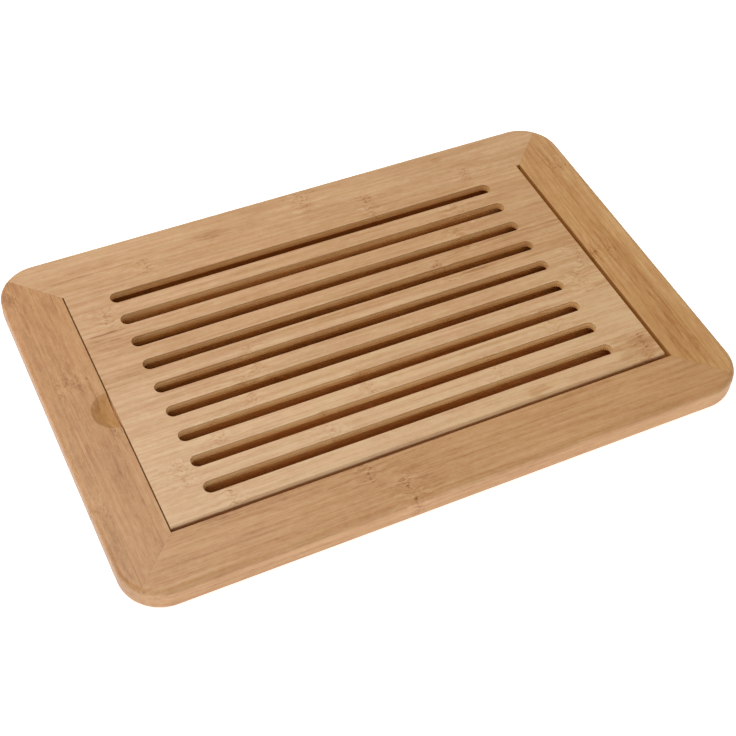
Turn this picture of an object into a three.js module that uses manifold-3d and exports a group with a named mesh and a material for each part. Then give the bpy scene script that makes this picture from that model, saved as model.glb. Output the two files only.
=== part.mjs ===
// Bamboo bread board: a mitred frame round a crumb well, under a slotted grille that lifts out.
// Millimetres. +X runs along the length, +Y to the back and +Z up.
// The origin is the middle of the underside, on the surface that the board rests on.

import * as THREE from 'three';
import { mergeVertices } from 'three/addons/utils/BufferGeometryUtils.js';
import Module from 'manifold-3d';

// Board outside
const boardLength = 420;
const boardWidth = 276;
const boardHeight = 20;
const cornerRadius = 27.5;
const topEdgeRadius = 4;
const bottomEdgeRadius = 7;

// Frame rails
const railWidth = 37.5;
const ledgeWidth = 5;
const mitreGlueLine = 0.2;

// Base panel, set up into a rebate so that only the rails touch the table
const panelThickness = 4;
const panelRecess = 1;
const panelClearance = 0.3;

// Loose tongues that key the mitres
const tongueLength = 26;
const tongueWidth = 18;
const tongueThickness = 3;
const tongueClearance = 0.3;

// Grille, lying loose in its seat and pushed to the back and the left
const grilleThickness = 5.7;
const grilleGapLeft = 0.8;
const grilleGapRight = 2.8;
const grilleGapFront = 3;
const grilleGapBack = 0.3;
const grilleEdgeEase = 0.6;
const grilleFrontChamfer = 1.6;
const backBarWidth = 8.5;
const frontBarWidth = 14;
const leftBarWidth = 27.7;
const rightBarWidth = 29.6;
const slotWidth = 8.8;
const slotCount = 9;

// Finger scoop in the left rail, its middle a little inside the recess
const scoopRadius = 15;
const scoopDepth = 4.2;
const scoopForward = 1.5;
const scoopInset = 1;

// How far a cutting shape runs past what it cuts
const overrun = 4;

// Fineness of the rounded shapes
const cornerSteps = 5;
const edgeSteps = 4;
const slotEndSteps = 4;
const easeSteps = 1;
const scoopSteps = 40;
const scoopArcSteps = 8;

// Heights and plan sizes that follow
const seatHeight = boardHeight - grilleThickness;
const panelTop = panelRecess + panelThickness;
const recessLength = boardLength - 2 * railWidth;
const recessWidth = boardWidth - 2 * railWidth;
const wellLength = recessLength - 2 * ledgeWidth;
const wellWidth = recessWidth - 2 * ledgeWidth;
const quarterTurn = Math.PI / 2;

const wasm = await Module();
wasm.setup();

// Turns a closed three.js geometry into a solid that can be joined and cut
function toSolid(geometry) {
  const bare = geometry.clone();
  bare.deleteAttribute('normal');
  bare.deleteAttribute('uv');
  const merged = mergeVertices(bare);
  return new wasm.Manifold(new wasm.Mesh({
    numProp: 3,
    vertProperties: new Float32Array(merged.attributes.position.array),
    triVerts: new Uint32Array(merged.index.array),
  }));
}

function toGeometry(solid) {
  const { vertProperties, triVerts } = solid.getMesh();
  const geometry = new THREE.BufferGeometry();
  geometry.setAttribute('position', new THREE.BufferAttribute(vertProperties, 3));
  geometry.setIndex(new THREE.BufferAttribute(triVerts, 1));
  geometry.computeVertexNormals();
  return geometry;
}

// A rectangular block over the board's middle, between two heights
function block(length, width, low, high) {
  const geometry = new THREE.BoxGeometry(length, width, high - low);
  geometry.translate(0, 0, (low + high) / 2);
  return geometry;
}

function roundedRectangle(length, width, radius) {
  const x = length / 2 - radius;
  const y = width / 2 - radius;
  const outline = new THREE.Shape();
  outline.absarc(x, y, radius, 0, quarterTurn);
  outline.absarc(-x, y, radius, quarterTurn, 2 * quarterTurn);
  outline.absarc(-x, -y, radius, 2 * quarterTurn, 3 * quarterTurn);
  outline.absarc(x, -y, radius, 3 * quarterTurn, 4 * quarterTurn);
  return outline;
}

// A plate of any outline between two heights, with every edge rounded to the same radius
function easedPlate(outline, low, high, edgeRadius, curveSegments, bevelSegments) {
  const geometry = new THREE.ExtrudeGeometry(outline, {
    depth: high - low - 2 * edgeRadius,
    bevelThickness: edgeRadius,
    bevelSize: edgeRadius,
    bevelOffset: -edgeRadius,
    bevelSegments,
    curveSegments,
  });
  geometry.translate(0, 0, low + edgeRadius);
  return geometry;
}

// The outside of the board: a small rounding above, a larger one below
function boardBlank() {
  const outline = roundedRectangle(boardLength, boardWidth, cornerRadius);
  const upper = easedPlate(outline, -boardHeight, boardHeight, topEdgeRadius, cornerSteps, edgeSteps);
  const lower = easedPlate(outline, 0, 2 * boardHeight, bottomEdgeRadius, cornerSteps, edgeSteps);
  return toSolid(upper).intersect(toSolid(lower));
}

// The four rails as one ring: an inner ledge with the grille's seat above it and the panel's rebate below
function frameRing() {
  const seat = block(recessLength, recessWidth, seatHeight, boardHeight + overrun);
  const well = block(wellLength, wellWidth, -overrun, boardHeight + overrun);
  const rebate = block(recessLength, recessWidth, -overrun, panelTop);
  return boardBlank().subtract(toSolid(seat)).subtract(toSolid(well)).subtract(toSolid(rebate));
}

// A mitre tongue, or with a clearance the pocket that it lies in; its length runs along the mitre
function tongueBlock(sideX, sideY, clearance) {
  const inset = (cornerRadius * (1 - Math.SQRT1_2) + railWidth) / 2;
  const geometry = new THREE.BoxGeometry(
    tongueLength + 2 * clearance,
    tongueWidth + 2 * clearance,
    tongueThickness + 2 * clearance,
  );
  geometry.rotateZ(sideX * sideY * quarterTurn / 2);
  geometry.translate(sideX * (boardLength / 2 - inset), sideY * (boardWidth / 2 - inset), boardHeight / 2);
  return geometry;
}

// The space that one rail takes, with both ends mitred at 45 degrees; turned from the front rail's place
function mitredSpace(halfAlong, halfAcross, turn) {
  const reach = railWidth + ledgeWidth + overrun;
  const setback = mitreGlueLine / 2 * Math.SQRT2;
  const outerHalf = halfAlong + overrun - setback;
  const innerHalf = halfAlong - reach - setback;
  const outline = new THREE.Shape([
    new THREE.Vector2(-outerHalf, -halfAcross - overrun),
    new THREE.Vector2(outerHalf, -halfAcross - overrun),
    new THREE.Vector2(innerHalf, -halfAcross + reach),
    new THREE.Vector2(-innerHalf, -halfAcross + reach),
  ]);
  const geometry = new THREE.ExtrudeGeometry(outline, {
    depth: boardHeight + 2 * overrun,
    bevelEnabled: false,
  });
  geometry.translate(0, 0, -overrun);
  geometry.rotateZ(turn);
  return geometry;
}

// The dish cut by a round-nosed cutter, open above the board
function scoopCutter() {
  const ballRadius = (scoopRadius ** 2 + scoopDepth ** 2) / (2 * scoopDepth);
  const bottom = boardHeight - scoopDepth;
  const halfAngle = Math.asin(scoopRadius / ballRadius);
  const profile = [];
  for (let step = 0; step <= scoopArcSteps; step += 1) {
    const angle = halfAngle * step / scoopArcSteps;
    profile.push(new THREE.Vector2(ballRadius * Math.sin(angle), bottom + ballRadius * (1 - Math.cos(angle))));
  }
  profile.push(new THREE.Vector2(scoopRadius, boardHeight + overrun));
  profile.push(new THREE.Vector2(0, boardHeight + overrun));
  const geometry = new THREE.LatheGeometry(profile, scoopSteps);
  geometry.rotateX(quarterTurn);
  geometry.translate(-recessLength / 2 + scoopInset, -scoopForward, 0);
  return geometry;
}

// One routed slot with half-round ends, as a hole in the grille's outline
function slotHole(left, right, middle) {
  const radius = slotWidth / 2;
  const hole = new THREE.Path();
  hole.absarc(right - radius, middle, radius, -quarterTurn, quarterTurn);
  hole.absarc(left + radius, middle, radius, quarterTurn, 3 * quarterTurn);
  return hole;
}

// The wedge that is planed off the top front edge of the grille, between its left and right sides
function chamferWedge(left, right, front) {
  const drop = grilleFrontChamfer + overrun;
  const outline = new THREE.Shape([
    new THREE.Vector2(front - overrun, boardHeight - drop),
    new THREE.Vector2(front + drop, boardHeight + overrun),
    new THREE.Vector2(front - overrun, boardHeight + overrun),
  ]);
  const geometry = new THREE.ExtrudeGeometry(outline, {
    depth: right - left + 2 * overrun,
    bevelEnabled: false,
  });
  geometry.rotateX(quarterTurn);
  geometry.rotateZ(quarterTurn);
  geometry.translate(left - overrun, 0, 0);
  return geometry;
}

function grillePlate() {
  const left = -recessLength / 2 + grilleGapLeft;
  const right = recessLength / 2 - grilleGapRight;
  const front = -recessWidth / 2 + grilleGapFront;
  const back = recessWidth / 2 - grilleGapBack;
  const outline = new THREE.Shape([
    new THREE.Vector2(left, front),
    new THREE.Vector2(right, front),
    new THREE.Vector2(right, back),
    new THREE.Vector2(left, back),
  ]);
  const firstSlot = back - backBarWidth - slotWidth / 2;
  const lastSlot = front + frontBarWidth + slotWidth / 2;
  for (let slot = 0; slot < slotCount; slot += 1) {
    const middle = firstSlot + (lastSlot - firstSlot) * slot / (slotCount - 1);
    outline.holes.push(slotHole(left + leftBarWidth, right - rightBarWidth, middle));
  }
  const plate = easedPlate(outline, seatHeight, boardHeight, grilleEdgeEase, slotEndSteps, easeSteps);
  return toGeometry(toSolid(plate).subtract(toSolid(chamferWedge(left, right, front))));
}

function basePanel() {
  const length = recessLength - 2 * panelClearance;
  const width = recessWidth - 2 * panelClearance;
  return block(length, width, panelRecess, panelTop);
}

const railBamboo = { color: 0xbe9266, roughness: 0.5 };
const grilleBamboo = { color: 0xd2ac80, roughness: 0.55 };
const panelBamboo = { color: 0xa87c50, roughness: 0.65 };
const tongueBamboo = { color: 0xc8a070, roughness: 0.7 };

const board = new THREE.Group();

function addPiece(name, geometry, finish) {
  const piece = new THREE.Mesh(geometry, new THREE.MeshStandardMaterial({ ...finish, metalness: 0 }));
  piece.name = name;
  board.add(piece);
}

const corners = [
  { name: 'tongue_front_left', sideX: -1, sideY: -1 },
  { name: 'tongue_front_right', sideX: 1, sideY: -1 },
  { name: 'tongue_back_right', sideX: 1, sideY: 1 },
  { name: 'tongue_back_left', sideX: -1, sideY: 1 },
];

let ring = frameRing();
for (const { name, sideX, sideY } of corners) {
  ring = ring.subtract(toSolid(tongueBlock(sideX, sideY, tongueClearance)));
  addPiece(name, tongueBlock(sideX, sideY, 0), tongueBamboo);
}

const halfLength = boardLength / 2;
const halfWidth = boardWidth / 2;
const leftRail = ring.intersect(toSolid(mitredSpace(halfWidth, halfLength, 3 * quarterTurn)));
const rails = {
  rail_front: ring.intersect(toSolid(mitredSpace(halfLength, halfWidth, 0))),
  rail_right: ring.intersect(toSolid(mitredSpace(halfWidth, halfLength, quarterTurn))),
  rail_back: ring.intersect(toSolid(mitredSpace(halfLength, halfWidth, 2 * quarterTurn))),
  rail_left: leftRail.subtract(toSolid(scoopCutter())),
};
for (const [name, solid] of Object.entries(rails)) {
  addPiece(name, toGeometry(solid), railBamboo);
}

addPiece('base_panel', basePanel(), panelBamboo);
addPiece('grille', grillePlate(), grilleBamboo);

export default board;
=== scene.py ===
import math

import bmesh
import bpy
from mathutils import Matrix, Quaternion, Vector


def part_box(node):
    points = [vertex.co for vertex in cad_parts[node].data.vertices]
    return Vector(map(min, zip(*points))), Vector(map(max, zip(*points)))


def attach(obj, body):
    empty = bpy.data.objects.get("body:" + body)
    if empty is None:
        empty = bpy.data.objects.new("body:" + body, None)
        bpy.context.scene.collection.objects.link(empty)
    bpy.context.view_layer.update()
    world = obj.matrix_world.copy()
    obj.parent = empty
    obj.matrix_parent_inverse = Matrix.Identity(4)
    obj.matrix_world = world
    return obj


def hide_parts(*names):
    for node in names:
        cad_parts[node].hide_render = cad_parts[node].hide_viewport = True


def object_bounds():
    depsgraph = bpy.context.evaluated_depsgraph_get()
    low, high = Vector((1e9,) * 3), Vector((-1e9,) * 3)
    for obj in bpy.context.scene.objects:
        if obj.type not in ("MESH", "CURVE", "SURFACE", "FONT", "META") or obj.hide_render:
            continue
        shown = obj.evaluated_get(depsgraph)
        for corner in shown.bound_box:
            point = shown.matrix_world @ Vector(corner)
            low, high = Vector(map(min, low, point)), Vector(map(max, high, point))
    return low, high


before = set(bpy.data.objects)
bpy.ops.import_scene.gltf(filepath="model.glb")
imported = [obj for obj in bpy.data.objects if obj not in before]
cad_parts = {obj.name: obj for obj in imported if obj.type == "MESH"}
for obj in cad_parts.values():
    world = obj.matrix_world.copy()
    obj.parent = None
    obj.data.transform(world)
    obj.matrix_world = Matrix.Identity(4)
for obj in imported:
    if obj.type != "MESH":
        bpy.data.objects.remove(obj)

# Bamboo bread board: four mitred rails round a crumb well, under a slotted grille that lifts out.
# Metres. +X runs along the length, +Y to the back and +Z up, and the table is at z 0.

cad_low, cad_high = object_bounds()
grille_low, grille_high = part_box("grille")
panel_low, panel_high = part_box("base_panel")
front_rail_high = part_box("rail_front")[1]

# Places read from the frame
half_length = cad_high.x
half_width = cad_high.y
board_height = cad_high.z
seat_height = grille_low.z
panel_top = panel_high.z

# Board edges
corner_radius = 0.0275
corner_steps = 25
top_edge_radius = 0.004
top_edge_steps = 6
bottom_edge_radius = 0.007
bottom_edge_steps = 8

# The bevel's profile for a quarter circle, and its steps for a flat chamfer
quarter_round = 0.5
flat_steps = 1

# Rails
panel_clearance = 0.0003
recess_half_length = panel_high.x + panel_clearance
recess_half_width = panel_high.y + panel_clearance
ledge_width = recess_half_width + front_rail_high.y
mitre_gap = 0.00004
rail_arris = 0.00025
rail_seam_arris = 0.00005
arris_steps = 3

# Finger scoop in the left rail
scoop_radius = 0.015
scoop_depth = 0.0042
scoop_forward = 0.0015
scoop_inset = 0.001
ball_steps = 96

# Grille
slot_width = 0.0088
slot_count = 9
back_bar_width = 0.0085
front_bar_width = 0.014
left_bar_width = 0.0277
right_bar_width = 0.0296
slot_end_steps = 24
grille_back_gap = 0.00005
grille_arris = 0.0004
grille_back_arris = 0.00005
front_chamfer = 0.0016
chamfer_steps = 24
chamfer_left_end_share = 0.72
chamfer_right_end_share = 0.42
chamfer_full_share = 0.45

panel_arris = 0.0004

# Shading of the meshes
crease_angle = math.radians(35)
arris_angle = math.radians(25)
tiny = 2e-6


# Camera

camera_aim = Vector((-0.01418, -0.0326, 0.02))
camera_distance = 0.9214
camera_azimuth = math.radians(-29.07)
camera_elevation = math.radians(49.21)
camera_roll = math.radians(4.51)
camera_lens = 70.83
camera_sensor = 36


def photograph_camera():
    """The camera at the photograph's viewing angle."""
    data = bpy.data.cameras.new("camera")
    data.lens = camera_lens
    data.sensor_width = camera_sensor
    camera = bpy.data.objects.new("camera", data)
    bpy.context.scene.collection.objects.link(camera)
    level = math.cos(camera_elevation)
    back = Vector((
        math.sin(camera_azimuth) * level,
        -math.cos(camera_azimuth) * level,
        math.sin(camera_elevation),
    ))
    camera.location = camera_aim + back * camera_distance
    facing = (-back).to_track_quat("-Z", "Y")
    camera.rotation_mode = "QUATERNION"
    camera.rotation_quaternion = facing @ Quaternion((0, 0, 1), camera_roll)
    bpy.context.scene.camera = camera


# Mesh helpers

def edges_where(bm, test):
    """The edges whose two ends both pass a test on their place."""
    return [edge for edge in bm.edges if all(test(vert.co) for vert in edge.verts)]


def new_verts(result, key="geom"):
    """The vertices among what an operator returned."""
    return [item for item in result[key] if isinstance(item, bmesh.types.BMVert)]


def new_edges(result, key="geom"):
    """The edges among what an operator returned."""
    return [item for item in result[key] if isinstance(item, bmesh.types.BMEdge)]


def round_over(bm, edges, radius, steps):
    """Rounds edges as a router bit does. One step leaves a flat chamfer."""
    bmesh.ops.bevel(
        bm, geom=edges, offset=radius, segments=steps, profile=quarter_round,
        affect="EDGES", material=-1,
    )


def ease_arrises(bm, width, chosen=lambda place: True):
    """Takes the sharpness off the edges that are still sharp and have an end at a chosen place."""
    sharp = [
        edge for edge in bm.edges
        if edge.calc_face_angle(0) > arris_angle and any(chosen(vert.co) for vert in edge.verts)
    ]
    round_over(bm, sharp, width, arris_steps)


def score(bm, point, normal, cut_off=False):
    """Marks a plane's line round the mesh, or cuts away what lies beyond it, and returns the new edges."""
    everything = bm.verts[:] + bm.edges[:] + bm.faces[:]
    cut = bmesh.ops.bisect_plane(
        bm, geom=everything, dist=tiny, plane_co=point, plane_no=normal, clear_outer=cut_off,
    )
    return new_edges(cut, "geom_cut")


def saw_off(bm, point, normal):
    """Cuts away what lies beyond a plane and closes the cut."""
    bmesh.ops.edgeloop_fill(bm, edges=score(bm, point, normal, cut_off=True))


def box_mesh(low, high):
    """A bmesh box between two corners."""
    bm = bmesh.new()
    bmesh.ops.create_cube(bm, size=1)
    bmesh.ops.scale(bm, vec=high - low, verts=bm.verts)
    bmesh.ops.translate(bm, vec=(low + high) / 2, verts=bm.verts)
    return bm


def object_of(name, bm):
    """Makes a plain object of a bmesh."""
    mesh = bpy.data.meshes.new(name)
    bm.to_mesh(mesh)
    bm.free()
    thing = bpy.data.objects.new(name, mesh)
    bpy.context.scene.collection.objects.link(thing)
    return thing


def piece_of(name, bm):
    """Makes a finished piece of a bmesh, smooth over its curves and flat on its faces."""
    bmesh.ops.recalc_face_normals(bm, faces=bm.faces)
    piece = object_of(name, bm)
    piece.data.shade_smooth()
    piece.data.set_sharp_from_angle(angle=crease_angle)
    shading = piece.modifiers.new("flat faces", "WEIGHTED_NORMAL")
    shading.keep_sharp = True
    return piece


# Rails

# Each rail's turn from the front rail's place to its own, half the board along the rail and across
# it, and half the recess across it
rail_places = {
    "front_rail": (0, half_length, half_width, recess_half_width),
    "right_rail": (math.pi / 2, half_width, half_length, recess_half_length),
    "back_rail": (math.pi, half_length, half_width, recess_half_width),
    "left_rail": (-math.pi / 2, half_width, half_length, recess_half_length),
}


def board_blank(half_along, half_across):
    """The board's outside before the rails are parted, with its corners and edges rounded."""
    low = Vector((-half_along, -half_across, 0))
    high = Vector((half_along, half_across, board_height))
    bm = box_mesh(low, high)
    upright = [edge for edge in bm.edges if abs(edge.verts[0].co.z - edge.verts[1].co.z) > tiny]
    round_over(bm, upright, corner_radius, corner_steps)
    top = edges_where(bm, lambda place: place.z > board_height - tiny)
    round_over(bm, top, top_edge_radius, top_edge_steps)
    bottom = edges_where(bm, lambda place: place.z < tiny)
    round_over(bm, bottom, bottom_edge_radius, bottom_edge_steps)
    return bm


def grow_ledge(bm):
    """Draws the middle of the rail's inner wall out into the ledge that carries the grille."""
    for height in (seat_height, panel_top):
        score(bm, Vector((0, 0, height)), Vector((0, 0, 1)))
    wall = [
        face for face in bm.faces
        if face.normal.y > 1 - tiny and panel_top < face.calc_center_median().z < seat_height
    ]
    drawn = new_verts(bmesh.ops.extrude_face_region(bm, geom=wall))
    bmesh.ops.delete(bm, geom=wall, context="FACES_ONLY")
    for vert in drawn:
        vert.co.x -= math.copysign(ledge_width, vert.co.x)
        vert.co.y += ledge_width


def cut_scoop(bm, recess_half_across):
    """Cuts the finger scoop with a ball, in the front rail's place, and returns the cut rail."""
    ball_radius = (scoop_radius ** 2 + scoop_depth ** 2) / (2 * scoop_depth)
    middle = Vector((
        scoop_forward,
        scoop_inset - recess_half_across,
        board_height - scoop_depth + ball_radius,
    ))
    ball = bmesh.new()
    bmesh.ops.create_uvsphere(ball, u_segments=ball_steps, v_segments=ball_steps, radius=ball_radius)
    bmesh.ops.translate(ball, vec=middle, verts=ball.verts)
    cutter = object_of("scoop_cutter", ball)
    blank = object_of("uncut_rail", bm)
    cut = blank.modifiers.new("scoop", "BOOLEAN")
    cut.operation = "DIFFERENCE"
    cut.solver = "EXACT"
    cut.object = cutter
    bpy.context.view_layer.update()
    result = bmesh.new()
    result.from_object(blank, bpy.context.evaluated_depsgraph_get())
    bpy.data.objects.remove(blank)
    bpy.data.objects.remove(cutter)
    return result


def rail_bmesh(half_along, half_across, recess_half_across, scooped, seam_arris):
    """One rail in the front rail's place: the blank cut off at both mitres and along the recess."""
    bm = board_blank(half_along, half_across)
    setback = mitre_gap / 2 * math.sqrt(2)
    for side in (-1, 1):
        mitre_foot = Vector((side * (half_along - setback), -half_across, 0))
        saw_off(bm, mitre_foot, Vector((side, 1, 0)).normalized())
    saw_off(bm, Vector((0, -recess_half_across, 0)), Vector((0, 1, 0)))
    grow_ledge(bm)
    if scooped:
        bm = cut_scoop(bm, recess_half_across)
    short_of_mitre = half_along - half_across - setback - tiny
    ease_arrises(bm, seam_arris, lambda place: abs(place.x) + place.y < short_of_mitre)
    return bm


def make_rails():
    """The four rails, each turned from the front rail's place."""
    rails = {}
    for name, (turn, half_along, half_across, recess_half_across) in rail_places.items():
        seam_arris = rail_seam_arris if name == "back_rail" else rail_arris
        bm = rail_bmesh(half_along, half_across, recess_half_across, name == "left_rail", seam_arris)
        bmesh.ops.rotate(bm, cent=(0, 0, 0), matrix=Matrix.Rotation(turn, 3, "Z"), verts=bm.verts)
        rails[name] = piece_of(name, bm)
    return rails


# Grille

grille_back = recess_half_width - grille_back_gap


def sweep_slot(bm, half_run, wall, bar):
    """One slot's wall and the halves of the bars beside it, swept round the slot's outline."""
    corners = [
        Vector((half_run, -bar, grille_high.z)),
        Vector((half_run, -wall, grille_high.z)),
        Vector((half_run, -wall, grille_low.z)),
        Vector((half_run, -bar, grille_low.z)),
    ]
    verts = [bm.verts.new(corner) for corner in corners]
    section = [bm.edges.new(pair) for pair in zip(verts, verts[1:])]
    for side in (1, -1):
        end = bmesh.ops.spin(
            bm, geom=verts + section, cent=(side * half_run, 0, 0), axis=(0, 0, 1), angle=math.pi,
            steps=slot_end_steps,
        )
        run = bmesh.ops.extrude_edge_only(bm, edges=new_edges(end, "geom_last"))
        verts = new_verts(run)
        section = [edge for edge in new_edges(run) if all(vert in verts for vert in edge.verts)]
        bmesh.ops.translate(bm, vec=(-2 * side * half_run, 0, 0), verts=verts)
    bmesh.ops.remove_doubles(bm, verts=bm.verts, dist=tiny)
    square_ends(bm, half_run, wall, bar)


def square_ends(bm, half_run, wall, bar):
    """Draws the outer half circles of a swept slot out to squares, so that slots join side by side."""
    for vert in bm.verts:
        beyond = abs(vert.co.x) - half_run
        reach = max(beyond, abs(vert.co.y))
        if beyond > tiny and math.hypot(beyond, vert.co.y) > wall + tiny:
            vert.co.x = math.copysign(half_run + beyond * bar / reach, vert.co.x)
            vert.co.y *= bar / reach


def slot_field():
    """All the slots side by side, in the plate's place."""
    first = grille_high.y - back_bar_width - slot_width / 2
    last = grille_low.y + front_bar_width + slot_width / 2
    pitch = (first - last) / (slot_count - 1)
    left = grille_low.x + left_bar_width + slot_width / 2
    right = grille_high.x - right_bar_width - slot_width / 2
    bm = bmesh.new()
    sweep_slot(bm, (right - left) / 2, slot_width / 2, pitch / 2)
    bmesh.ops.translate(bm, vec=((left + right) / 2, last, 0), verts=bm.verts)
    one_slot = bm.verts[:] + bm.edges[:] + bm.faces[:]
    for slot in range(1, slot_count):
        copy = bmesh.ops.duplicate(bm, geom=one_slot)
        bmesh.ops.translate(bm, vec=(0, pitch * slot, 0), verts=new_verts(copy))
    bmesh.ops.remove_doubles(bm, verts=bm.verts, dist=tiny)
    return bm


def crosses_corner(edge):
    """Whether an edge runs slantwise from a corner of the field to a corner of the plate."""
    span = edge.verts[0].co - edge.verts[1].co
    return abs(span.x) > slot_width and abs(span.y) > tiny


def frame_margins(bm):
    """Draws the field's rim out to the plate's four sides, above and below, and closes the sides."""
    open_edges = [edge for edge in bm.edges if edge.is_boundary]
    rim = {vert for edge in open_edges for vert in edge.verts}
    field_low = Vector((min(vert.co.x for vert in rim), min(vert.co.y for vert in rim)))
    field_high = Vector((max(vert.co.x for vert in rim), max(vert.co.y for vert in rim)))
    margin = bmesh.ops.extrude_edge_only(bm, edges=open_edges)
    for vert in new_verts(margin):
        if vert.co.x < field_low.x + tiny:
            vert.co.x = grille_low.x
        if vert.co.x > field_high.x - tiny:
            vert.co.x = grille_high.x
        if vert.co.y < field_low.y + tiny:
            vert.co.y = grille_low.y
        if vert.co.y > field_high.y - tiny:
            vert.co.y = grille_back
    bmesh.ops.dissolve_edges(bm, edges=[edge for edge in bm.edges if crosses_corner(edge)])
    bmesh.ops.bridge_loops(bm, edges=[edge for edge in bm.edges if edge.is_boundary])


def chamfer_size(x):
    """The front chamfer's size along the plate: full in the middle and planed thinner to the ends."""
    middle = (grille_low.x + grille_high.x) / 2
    reach = (x - middle) / (grille_high.x - middle)
    end_share = chamfer_right_end_share if reach > 0 else chamfer_left_end_share
    run_out = min(max((abs(reach) - chamfer_full_share) / (1 - chamfer_full_share), 0), 1)
    smooth = run_out * run_out * (3 - 2 * run_out)
    return front_chamfer * (1 - (1 - end_share) * smooth)


def plane_front(bm):
    """Planes the chamfer along the top front edge of the grille."""
    def on_front(place):
        return place.y < grille_low.y + tiny and place.z > grille_high.z - tiny

    long_edges = [edge for edge in edges_where(bm, on_front) if edge.calc_length() > slot_width]
    bmesh.ops.subdivide_edges(bm, edges=long_edges, cuts=chamfer_steps, use_single_edge=True)
    round_over(bm, edges_where(bm, on_front), front_chamfer, flat_steps)
    for vert in bm.verts:
        size = chamfer_size(vert.co.x)
        if abs(vert.co.y - grille_low.y - front_chamfer) < tiny and vert.co.z > grille_high.z - tiny:
            vert.co.y = grille_low.y + size
        if abs(vert.co.z - grille_high.z + front_chamfer) < tiny:
            vert.co.z = grille_high.z - size


def make_grille():
    """The grille: a plate with nine round-ended slots and eased edges."""
    bm = slot_field()
    frame_margins(bm)
    plane_front(bm)
    bmesh.ops.recalc_face_normals(bm, faces=bm.faces)
    ease_arrises(bm, grille_arris, lambda place: place.y < grille_back - tiny)
    ease_arrises(bm, grille_back_arris)
    return piece_of("slotted_grille", bm)


def make_base_sheet():
    """The sheet that closes the well from below, with its arrises eased."""
    bm = box_mesh(panel_low, panel_high)
    ease_arrises(bm, panel_arris)
    return piece_of("base_sheet", bm)


# Shader maths

white = (1, 1, 1, 1)

# A Mix node's sockets for colours, by number, because it has others of the same names
mix_factor = 0
mix_first = 6
mix_second = 7
mix_result = 2


class Value:
    """A value that varies over a surface. Sums, products and the like on it add Math nodes."""

    def __init__(self, shader, socket):
        self.shader = shader
        self.socket = socket

    def maths(self, operation, *others):
        """An operation with this value first."""
        sockets = dict(enumerate((self, *others)))
        return self.shader.add("ShaderNodeMath", {"operation": operation}, sockets)

    def after(self, operation, other):
        """An operation with this value second."""
        return self.shader.add("ShaderNodeMath", {"operation": operation}, {0: other, 1: self})

    def output(self, name):
        """Another output of the node that this value comes from."""
        return Value(self.shader, self.socket.node.outputs[name])

    def __add__(self, other):
        return self.maths("ADD", other)

    def __radd__(self, other):
        return self.after("ADD", other)

    def __sub__(self, other):
        return self.maths("SUBTRACT", other)

    def __rsub__(self, other):
        return self.after("SUBTRACT", other)

    def __mul__(self, other):
        return self.maths("MULTIPLY", other)

    def __rmul__(self, other):
        return self.after("MULTIPLY", other)

    def __truediv__(self, other):
        return self.maths("DIVIDE", other)

    def __gt__(self, other):
        return self.maths("GREATER_THAN", other)

    def __abs__(self):
        return self.maths("ABSOLUTE")

    def least(self, other):
        return self.maths("MINIMUM", other)

    def rise(self, low, high):
        """From 0 at low to 1 at high, smoothly."""
        return self.shader.add(
            "ShaderNodeMapRange",
            {"interpolation_type": "SMOOTHSTEP"},
            {"Value": self, "From Min": low, "From Max": high},
        )

    def fall(self, low, high):
        """From 1 at low to 0 at high, smoothly."""
        return 1 - self.rise(low, high)


class Shader:
    """One material and its nodes."""

    def __init__(self, name):
        self.material = bpy.data.materials.new(name)
        self.material.use_nodes = True
        self.tree = self.material.node_tree
        self.surface = self.tree.nodes["Principled BSDF"]

    def add(self, kind, settings, sockets, output=0):
        """Adds a node of a type: its settings first, then the values or links of its sockets."""
        node = self.tree.nodes.new(kind)
        for name, setting in settings.items():
            if name == "stops":
                self.set_stops(node.color_ramp, setting)
            elif name == "blending":
                node.color_ramp.interpolation = setting
            else:
                setattr(node, name, setting)
        self.fill(node, sockets)
        return Value(self, node.outputs[output])

    def fill(self, node, sockets):
        """Links the values that vary to a node's sockets and types in the others."""
        for name, content in sockets.items():
            if isinstance(content, Value):
                self.tree.links.new(content.socket, node.inputs[name])
            else:
                node.inputs[name].default_value = content

    def set_stops(self, ramp, stops):
        """Places the stops of a colour ramp, which starts with two."""
        for place, colour in stops[2:]:
            ramp.elements.new(place)
        for element, (place, colour) in zip(ramp.elements, stops):
            element.position = place
            element.color = colour

    def mix(self, blend, factor, first, second):
        """Mixes two colours, the second one over the first."""
        return self.add(
            "ShaderNodeMix",
            {"data_type": "RGBA", "blend_type": blend},
            {mix_factor: factor, mix_first: first, mix_second: second},
            mix_result,
        )


# Bamboo

# A bamboo's colour from its darkest tone, 0, to its palest, 1: as it is cut, as it yellows, as it
# turns golden, and a dark reddish brown that is painted shade for the well under the grille
fresh_tones = [
    (0.0, (0.090, 0.028, 0.008, 1)),
    (0.25, (0.292, 0.132, 0.046, 1)),
    (0.5, (0.466, 0.251, 0.105, 1)),
    (0.75, (0.551, 0.333, 0.168, 1)),
    (1.0, (0.641, 0.432, 0.241, 1)),
]
yellowed_tones = [
    (0.0, (0.090, 0.023, 0.005, 1)),
    (0.25, (0.343, 0.142, 0.041, 1)),
    (0.5, (0.466, 0.234, 0.084, 1)),
    (0.75, (0.551, 0.311, 0.133, 1)),
    (1.0, (0.641, 0.406, 0.197, 1)),
]
golden_tones = [
    (0.0, (0.090, 0.020, 0.004, 1)),
    (0.25, (0.343, 0.136, 0.033, 1)),
    (0.5, (0.466, 0.225, 0.069, 1)),
    (0.75, (0.551, 0.300, 0.111, 1)),
    (1.0, (0.641, 0.395, 0.172, 1)),
]
well_shade_tones = [
    (0.0, (0.120, 0.028, 0.005, 1)),
    (0.5, (0.430, 0.178, 0.040, 1)),
    (1.0, (0.620, 0.310, 0.105, 1)),
]
blush = (1.0, 0.965, 0.985, 1)

# In a metre
millimetres = 1000

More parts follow.
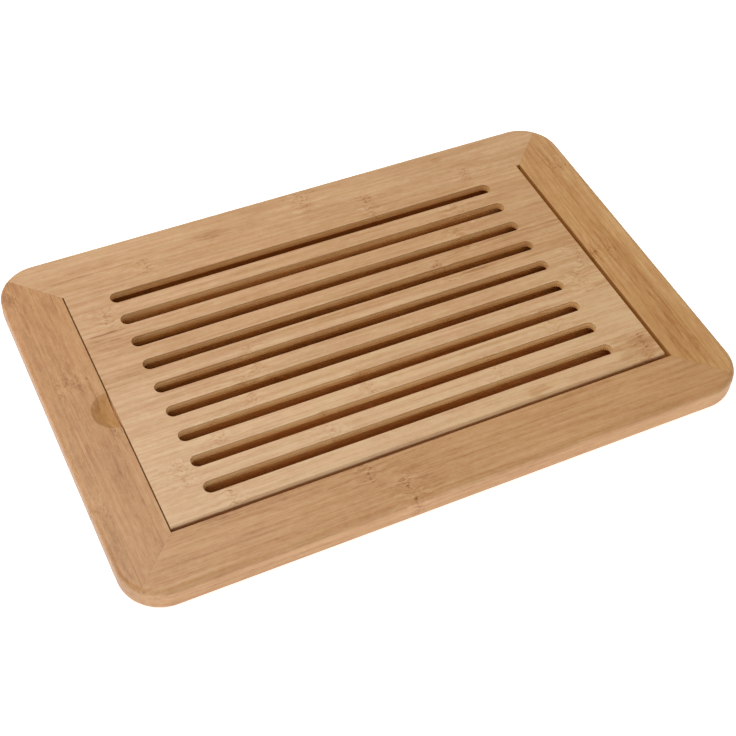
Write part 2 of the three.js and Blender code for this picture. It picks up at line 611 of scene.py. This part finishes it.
# The bamboo strips of each rail, counted in from the board's outer edge. Each has its first edge
# as a share of the rail's width, its tone, and its nodes as shares of the rail's length.
rail_strip_shares = {
    "front_rail": [
        (0.0, 0.57, (0.424,)),
        (0.61, 0.56, (0.383,)),
    ],
    "right_rail": [
        (0.0, 0.73, (0.82,)),
        (0.5, 0.65, (0.5,)),
    ],
    "back_rail": [
        (0.0, 0.75, (0.476,)),
        (0.64, 0.74, (0.769, 0.19, 0.376)),
    ],
    "left_rail": [
        (0.0, 0.45, (0.1, 0.743)),
        (0.267, 0.46, (0.397,)),
        (0.827, 0.51, (0.569,)),
    ],
}

# Back from the grille's front: each strip's tone, and its nodes as shares of the grille's length
grille_strip_width = 0.0224
grille_first_seam = 0.0225
grille_strip_shares = [
    (0.89, (0.122, 0.972)),
    (0.90, (0.055, 0.338, 0.683)),
    (0.86, (0.151, 0.444, 0.83)),
    (0.79, (0.239, 0.947)),
    (0.75, (0.274, 0.985)),
    (0.66, (0.71,)),
    (0.64, (0.786,)),
    (0.70, (0.058, 0.815)),
    (0.66, (0.654,)),
]

# The same for the base sheet, from its front, and for the tongues, with the seam between their strips
panel_strip_shares = [
    (0.70, (0.2, 0.7)),
    (0.62, (0.45,)),
    (0.43, (0.9, 0.3)),
    (0.44, (0.6,)),
    (0.62, (0.15,)),
]
tongue_strip_shares = [
    (0.66, (0.2,)),
    (0.62, (0.8,)),
]
tongue_seam_shares = [0.5]

# The most nodes that a strip can have
node_places = 3

# Where each piece's noise starts, so that no two are alike
grain_seeds = {
    "front_rail": 0,
    "right_rail": 100,
    "back_rail": 200,
    "left_rail": 300,
    "grille": 400,
    "panel": 500,
    "tongues": 600,
}

# Brown smudges: the middle as shares of the length and the width, half the length and half the width
# in millimetres, and how much darker the middle is
smudge_shares = {
    "front_rail": [
        (0.452, 0.28, 15, 8, 0.10),
    ],
    "right_rail": [
        (0.14, 0.55, 26, 9, 0.09),
        (0.5, 0.45, 170, 4.5, 0.19),
        (0.22, 0.7, 28, 7, 0.09),
        (0.5, 0.66, 20, 8, 0.05),
    ],
    "back_rail": [
        (0.651, 0.49, 14, 5, 0.15),
        (0.219, 0.27, 5, 2.5, 0.15),
        (0.174, 0.56, 26, 3, 0.14),
        (0.874, 0.64, 36, 1.2, 0.22),
    ],
    "left_rail": [
        (0.14, 0.82, 12, 8, 0.06),
    ],
    "grille": [
        (0.729, 0.03, 10, 5, 0.26),
        (0.965, 0.06, 20, 14, 0.28),
        (0.04, 0.754, 30, 6, 0.13),
        (0.043, 0.794, 19, 1.0, 0.22),
        (0.78, 0.584, 19, 1.5, 0.25),
    ],
}

# Where a smudge starts and stops fading and how ragged it is, by the square of the distance from its
# middle as a share of its half size
smudge_edge_shares = (0.1, 1.2)
smudge_ragged_share = 0.9

# The marks in bamboo: the length and the width of one in millimetres, and how it breaks up
waver_marks = {"along": 40, "across": 4.5, "detail": 1}
ragged_marks = {"along": 16, "across": 3}
cloud_marks = {"along": 70, "across": 16, "detail": 3, "rough": 0.65}
blush_marks = {"along": 34, "across": 5}
swerve_marks = {"along": 9, "across": 6, "detail": 1}
vein_marks = {"along": 240, "across": 2.8, "detail": 1}
streak_marks = {"along": 70, "across": 1.6}
ripple_marks = {"along": 16, "across": 3, "detail": 4, "rough": 0.8, "wander": 0.3}
speckle_marks = {"along": 5, "across": 3, "detail": 4, "rough": 0.85}
fibre_marks = {"along": 14, "across": 0.5, "detail": 2}
fleck_marks = {"along": 2.6, "across": 1.0, "detail": 1}
broken_marks = {"along": 5, "across": 3, "detail": 1}
pale_marks = {"along": 12, "across": 4, "detail": 1}

# The two levels of the noise between which a mark comes up
mark_levels = (0.28, 0.72)
blush_levels = (0.42, 0.62)
fibre_levels = (0.5, 0.74)
fleck_levels = (0.52, 0.66)
broken_levels = (0.42, 0.6)
pale_levels = (0.5, 0.7)

# Distances in millimetres: how far from a node its marks reach, how much its line wavers along the
# grain and the fibres swerve across it, half a seam's width, and at what depth the painted light or shade
# on cut walls starts and is full
near_node_mm = (3, 20)
node_band_mm = (2, 6.5)
node_line_mm = (0.2, 1.3)
node_waver_mm = 3.4
swerve_mm = 2.2
seam_half_mm = 0.45
painted_shading_depth_mm = (0.3, 1.8)

# How much the marks change the tone
cloud_tone = 0.13
vein_tone = 0.10
streak_tone = 0.17
fibre_tone = 0.11
ripple_tone = 0.16
node_ripple_tone = 0.18
speckle_tone = 0.13
pale_tone = 0.06
fleck_tone = 0.24
node_line_tone = 0.17
seam_tone = 0.10
seam_evenness = 0.7

# How much they change the yellowing, the roughness and the relief
cloud_warmth = 0.3
streak_roughness = 0.06
fibre_roughness = 0.08
fleck_roughness = 0.1
streak_relief = 0.25
fibre_relief = 0.35
seam_relief = 0.8
fleck_relief = 0.4
relief_strength = 0.35
relief_height = 0.00012


class Grain:
    """Places in a piece of bamboo, in millimetres along the grain and across it."""

    def __init__(self, shader, turn, length, width, seed):
        self.shader = shader
        self.seed = seed
        seen = shader.add("ShaderNodeTexCoord", {}, {}, "Object")
        self.place = shader.add("ShaderNodeMapping", {"vector_type": "POINT"}, {
            "Vector": seen,
            "Location": (length[0] * millimetres, width[0] * millimetres, 0),
            "Rotation": (0, 0, -turn),
            "Scale": (millimetres, millimetres, millimetres),
        })
        self.along = shader.add("ShaderNodeSeparateXYZ", {}, {"Vector": self.place}, "X")
        self.across = self.along.output("Y")
        self.depth = board_height * millimetres - self.along.output("Z")
        self.length = length[1] * millimetres
        self.width = width[1] * millimetres

    def bend(self, sideways):
        """Moves the places across the grain, so that the fibres drawn from now on swerve."""
        lift = self.shader.add("ShaderNodeCombineXYZ", {}, {"Y": sideways, "Z": sideways})
        self.place = self.shader.add("ShaderNodeVectorMath", {"operation": "ADD"}, {0: self.place, 1: lift})

    def noise(self, along, across, detail=2.0, rough=0.5, wander=0.0):
        """Noise drawn out along the grain. The sizes are those of one light or dark mark."""
        self.seed += 1
        drawn = self.shader.add("ShaderNodeVectorMath", {"operation": "MULTIPLY_ADD"}, {
            0: self.place,
            1: (1 / along, 1 / across, 1 / across),
            2: (self.seed, self.seed, self.seed),
        })
        return self.shader.add("ShaderNodeTexNoise", {}, {
            "Vector": drawn, "Scale": 1, "Detail": detail, "Roughness": rough, "Distortion": wander,
        })

    def marks(self, along, across, **more):
        """Light and dark marks, from -0.5 to 0.5."""
        return self.noise(along, across, **more).rise(*mark_levels) - 0.5


def strip_number(grain, seams):
    """Counts the glued seams that lie before a place."""
    number = grain.across > seams[0] * grain.width
    for seam in seams[1:]:
        number = number + (grain.across > seam * grain.width)
    return number


def seam_line(grain, seams, half_line):
    """1 on a glued seam and 0 beside it."""
    nearest = abs(grain.across - seams[0] * grain.width)
    for seam in seams[1:]:
        nearest = nearest.least(abs(grain.across - seam * grain.width))
    return nearest.fall(0, half_line)


def strip_facts(grain, seams, rows):
    """Looks up each strip's tone, kept as a stop's alpha, and its nodes, kept as the stop's colour."""
    stops = []
    for index, (tone, nodes) in enumerate(rows):
        places = (nodes * node_places)[:node_places]
        stops.append((index / len(rows), (*places, tone)))
    where = (strip_number(grain, seams) + 0.5) / len(rows)
    steps = {"stops": stops, "blending": "CONSTANT"}
    facts = grain.shader.add("ShaderNodeValToRGB", steps, {"Fac": where})
    tone = facts.output("Alpha")
    split = grain.shader.add("ShaderNodeSeparateColor", {}, {"Color": facts}, "Red")
    return tone, [split, split.output("Green"), split.output("Blue")]


def from_node(grain, nodes):
    """The distance in millimetres along the grain to the strip's nearest node, which is a wavy line."""
    waver = grain.marks(**waver_marks) * node_waver_mm
    nearest = None
    for node in nodes:
        gap = abs(grain.along + waver - node * grain.length)
        nearest = gap if nearest is None else nearest.least(gap)
    return nearest


def smudged(grain, smudges):
    """How much darker the brown smudges make a place."""
    ragged = grain.marks(**ragged_marks) * smudge_ragged_share
    darker = 0
    for along_share, across_share, half_length_mm, half_width_mm, strength in smudges:
        along = (grain.along - along_share * grain.length) / half_length_mm
        across = (grain.across - across_share * grain.width) / half_width_mm
        far = along * along + across * across + ragged
        darker = darker + far.fall(*smudge_edge_shares) * strength
    return darker


def bamboo(name, grain_seed, turn, length, width, seams, rows, look):
    """Bamboo strips glued side by side, with fine fibres, soft ripple, and nodes across the strips."""
    shader = Shader(name)
    grain = Grain(shader, turn, length, width, grain_seed)
    strip_tone, nodes = strip_facts(grain, seams, rows)
    gap = from_node(grain, nodes)
    near = gap.fall(*near_node_mm)
    band = gap.fall(*node_band_mm)
    line = gap.fall(*node_line_mm)
    smudge = smudged(grain, look["smudges"])
    seam = seam_line(grain, seams, seam_half_mm)
    cloud = grain.marks(**cloud_marks)
    pink = grain.noise(**blush_marks).rise(*blush_levels)
    far_share = grain.along / grain.length
    # Mask of the cut walls below the top, where light or shade is painted into the colour
    cut = grain.depth.rise(*painted_shading_depth_mm) * (grain.across > look["cuts_from"])

    # The fibres swerve round a node and may lean, so they are drawn in bent places
    grain.bend(grain.marks(**swerve_marks) * near * swerve_mm + grain.along * look["lean"])
    vein = grain.marks(**vein_marks)
    streak = grain.marks(**streak_marks)
    ripple = grain.marks(**ripple_marks)
    speckle = grain.marks(**speckle_marks)
    fibre = grain.noise(**fibre_marks).rise(*fibre_levels)
    fleck = grain.noise(**fleck_marks).rise(*fleck_levels)
    broken = grain.noise(**broken_marks).rise(*broken_levels)
    pale = grain.noise(**pale_marks).rise(*pale_levels)

    tone = strip_tone + look["fade"] * far_share + cloud * cloud_tone - smudge
    tone = tone + vein * vein_tone * look["bold"] + streak * streak_tone * look["bold"] - fibre * fibre_tone
    tone = tone + ripple * (ripple_tone + near * node_ripple_tone) + speckle * speckle_tone
    tone = tone + pale * near * pale_tone
    tone = tone - (band * fleck * fleck_tone + line * broken * node_line_tone) * look["flecks"]
    tone = tone - seam * (vein + seam_evenness) * seam_tone

    fresh = shader.add("ShaderNodeValToRGB", {"stops": look["fresh"]}, {"Fac": tone})
    yellowed = shader.add("ShaderNodeValToRGB", {"stops": look["yellowed"]}, {"Fac": tone})
    first_warmth, last_warmth = look["warmth"]
    warmth = first_warmth + (last_warmth - first_warmth) * far_share + cloud * cloud_warmth
    colour = shader.mix("MIX", warmth, fresh, yellowed)
    colour = shader.mix("MULTIPLY", pink, colour, blush)
    # Painted shade on the rails' cut walls and painted light on the grille's slot walls
    colour = shader.mix("MULTIPLY", cut, colour, look["painted_wall_shading"])

    rough = look["roughness"] + streak * streak_roughness + fibre * fibre_roughness
    rough = rough + band * fleck * fleck_roughness
    height = streak * streak_relief - fibre * fibre_relief - seam * seam_relief
    height = height - band * fleck * fleck_relief
    bump = shader.add("ShaderNodeBump", {}, {
        "Strength": relief_strength, "Distance": relief_height, "Height": height,
    })
    shader.fill(shader.surface, {
        "Base Color": colour,
        "Roughness": rough,
        "Specular IOR Level": look["gloss"],
        "Normal": bump,
    })
    return shader.material


# How a piece of bamboo looks: how far it has yellowed at its two ends and how its tone changes
# from the first to the second, how its fibres lean, how bold they and the marks at its nodes are,
# and the light or shade painted on its cut walls below the top that lie more than some millimetres across:
# below 1 is painted shade, above 1 painted light.
plain_look = {
    "fresh": fresh_tones,
    "yellowed": yellowed_tones,
    "warmth": (0.0, 0.0),
    "fade": 0.0,
    "lean": 0.0,
    "bold": 0.97,
    "flecks": 1.0,
    "smudges": (),
    "cuts_from": 0.0,
    "painted_wall_shading": white,
    "roughness": 0.5,
    "gloss": 0.5,
}
rail_looks = {
    "front_rail": {
        "warmth": (0.3, 1.0),
        "fade": 0.06,
        "lean": 0.004,
    },
    "right_rail": {
        "yellowed": golden_tones,
        "warmth": (1.2, 0.8),
        "fade": 0.01,
        "lean": 0.03,
        "bold": 1.3,
    },
    "back_rail": {
        "warmth": (0.3, 0.1),
        "fade": -0.1,
    },
    "left_rail": {
        "warmth": (1.1, 0.3),
        "fade": 0.06,
        "lean": -0.01,
        "bold": 0.65,
        "flecks": 0.5,
        # Painted shade in the finger scoop and down the left rail's inner wall
        "painted_wall_shading": (0.91, 0.88, 0.7, 1),
    },
}
grille_look = {
    "warmth": (0.0, 0.5),
    "fade": 0.03,
    "bold": 1.25,
    "smudges": smudge_shares["grille"],
    "cuts_from": 4.0,
    # Painted light: the slot walls and the grille's sides below its top are paler than the wood
    "painted_wall_shading": (1.42, 1.50, 1.34, 1),
}
# The base sheet is coloured darker than the rails: painted shade for the well seen through the slots
panel_look = {
    "fresh": well_shade_tones,
    "yellowed": well_shade_tones,
    "flecks": 0.3,
    "roughness": 0.8,
    "gloss": 0.0,
}
tongue_look = {
    "warmth": (0.1, 0.1),
    "roughness": 0.6,
}
# Painted shade: the rails' inner walls and the gaps beside the grille darken below the top
rail_wall_painted_shade = (0.75, 0.59, 0.30, 1)


def rail_bamboo(name):
    """The bamboo of one rail, with its strips counted in from the outer edge."""
    turn, half_along, half_across, recess_half_across = rail_places[name]
    rail_width = half_across - recess_half_across
    strips = rail_strip_shares[name]
    seams = [first for first, tone, nodes in strips[1:]]
    rows = [(tone, nodes) for first, tone, nodes in strips]
    cuts_from = rail_width - (scoop_radius if name == "left_rail" else rail_arris)
    cuts = {"cuts_from": cuts_from * millimetres, "painted_wall_shading": rail_wall_painted_shade}
    look = {**plain_look, **cuts, **rail_looks[name], "smudges": smudge_shares[name]}
    return bamboo(
        name + "_bamboo", grain_seeds[name], turn, (half_along, 2 * half_along),
        (half_across, rail_width), seams, rows, look,
    )


def grille_bamboo():
    """The bamboo of the grille, with its strips counted back from the front edge."""
    length = grille_high.x - grille_low.x
    width = grille_high.y - grille_low.y
    seams = [
        (grille_first_seam + grille_strip_width * strip) / width
        for strip in range(len(grille_strip_shares) - 1)
    ]
    return bamboo(
        "grille_bamboo", grain_seeds["grille"], 0, (-grille_low.x, length), (-grille_low.y, width),
        seams, grille_strip_shares, {**plain_look, **grille_look},
    )


def panel_bamboo():
    """The bamboo ply of the base sheet, dark reddish brown as painted shade for the well."""
    length = panel_high.x - panel_low.x
    width = panel_high.y - panel_low.y
    strips = len(panel_strip_shares)
    seams = [strip / strips for strip in range(1, strips)]
    return bamboo(
        "panel_bamboo", grain_seeds["panel"], 0, (-panel_low.x, length), (-panel_low.y, width),
        seams, panel_strip_shares, {**plain_look, **panel_look},
    )


def tongue_bamboo():
    """The raw bamboo of the tongues inside the mitres."""
    return bamboo(
        "tongue_bamboo", grain_seeds["tongues"], math.pi / 4, (half_length, 2 * half_length),
        (half_width, 2 * half_width), tongue_seam_shares, tongue_strip_shares,
        {**plain_look, **tongue_look},
    )


# Dressing

def dress(piece, body, material, node):
    """Gives a piece its material, hangs it on its body and hides the CAD part that it stands for."""
    piece.data.materials.clear()
    piece.data.materials.append(material)
    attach(piece, body)
    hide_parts(node)


def dress_rails(rails):
    """Gives each rail its bamboo, with the grain along the rail."""
    nodes = {
        "front_rail": "rail_front",
        "right_rail": "rail_right",
        "back_rail": "rail_back",
        "left_rail": "rail_left",
    }
    for name, node in nodes.items():
        dress(rails[name], "frame", rail_bamboo(name), node)


def dress_tongues():
    """Gives the four hidden tongues their bamboo."""
    material = tongue_bamboo()
    for name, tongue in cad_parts.items():
        if name.startswith("tongue_"):
            tongue.data.materials.clear()
            tongue.data.materials.append(material)


# Stage

floor_half_size = 30
floor_albedo = 0.9
floor_roughness = 0.9
floor_gloss = 0.1
floor_glow = 0.7
sky_strength = 0.3
light_size = 1.0

# Each light's place, and its power in watts
soft_lights = {
    "overhead_light": ((-0.5, 0.55, 1.35), 19.3),
    "front_light": ((-0.3, -1.6, 0.75), 8.2),
}


def make_floor():
    """A plain pale floor that glows a little, so that it stays white beside the board."""
    bm = bmesh.new()
    bmesh.ops.create_grid(bm, x_segments=1, y_segments=1, size=floor_half_size)
    floor = piece_of("floor", bm)
    shader = Shader("floor_paint")
    shader.fill(shader.surface, {
        "Base Color": (floor_albedo, floor_albedo, floor_albedo, 1),
        "Roughness": floor_roughness,
        "Specular IOR Level": floor_gloss,
        "Emission Color": white,
        "Emission Strength": floor_glow,
    })
    floor.data.materials.append(shader.material)


def soft_light(name, place, power):
    """A square soft light aimed at the board."""
    data = bpy.data.lights.new(name, "AREA")
    data.size = light_size
    data.energy = power
    light = bpy.data.objects.new(name, data)
    light.location = place
    light.rotation_mode = "QUATERNION"
    light.rotation_quaternion = (-Vector(place)).to_track_quat("-Z", "Y")
    bpy.context.scene.collection.objects.link(light)


def light_studio():
    """Even, dim surroundings, a broad light overhead to the left and a low one in front."""
    world = bpy.data.worlds.new("studio")
    world.use_nodes = True
    sky = world.node_tree.nodes["Background"]
    sky.inputs["Color"].default_value = white
    sky.inputs["Strength"].default_value = sky_strength
    bpy.context.scene.world = world
    bpy.context.scene.view_settings.view_transform = "Standard"
    for name, (place, power) in soft_lights.items():
        soft_light(name, place, power)


# Build

photograph_camera()
dress_rails(make_rails())
dress(make_grille(), "grille", grille_bamboo(), "grille")
dress(make_base_sheet(), "frame", panel_bamboo(), "base_panel")
dress_tongues()
make_floor()
light_studio()
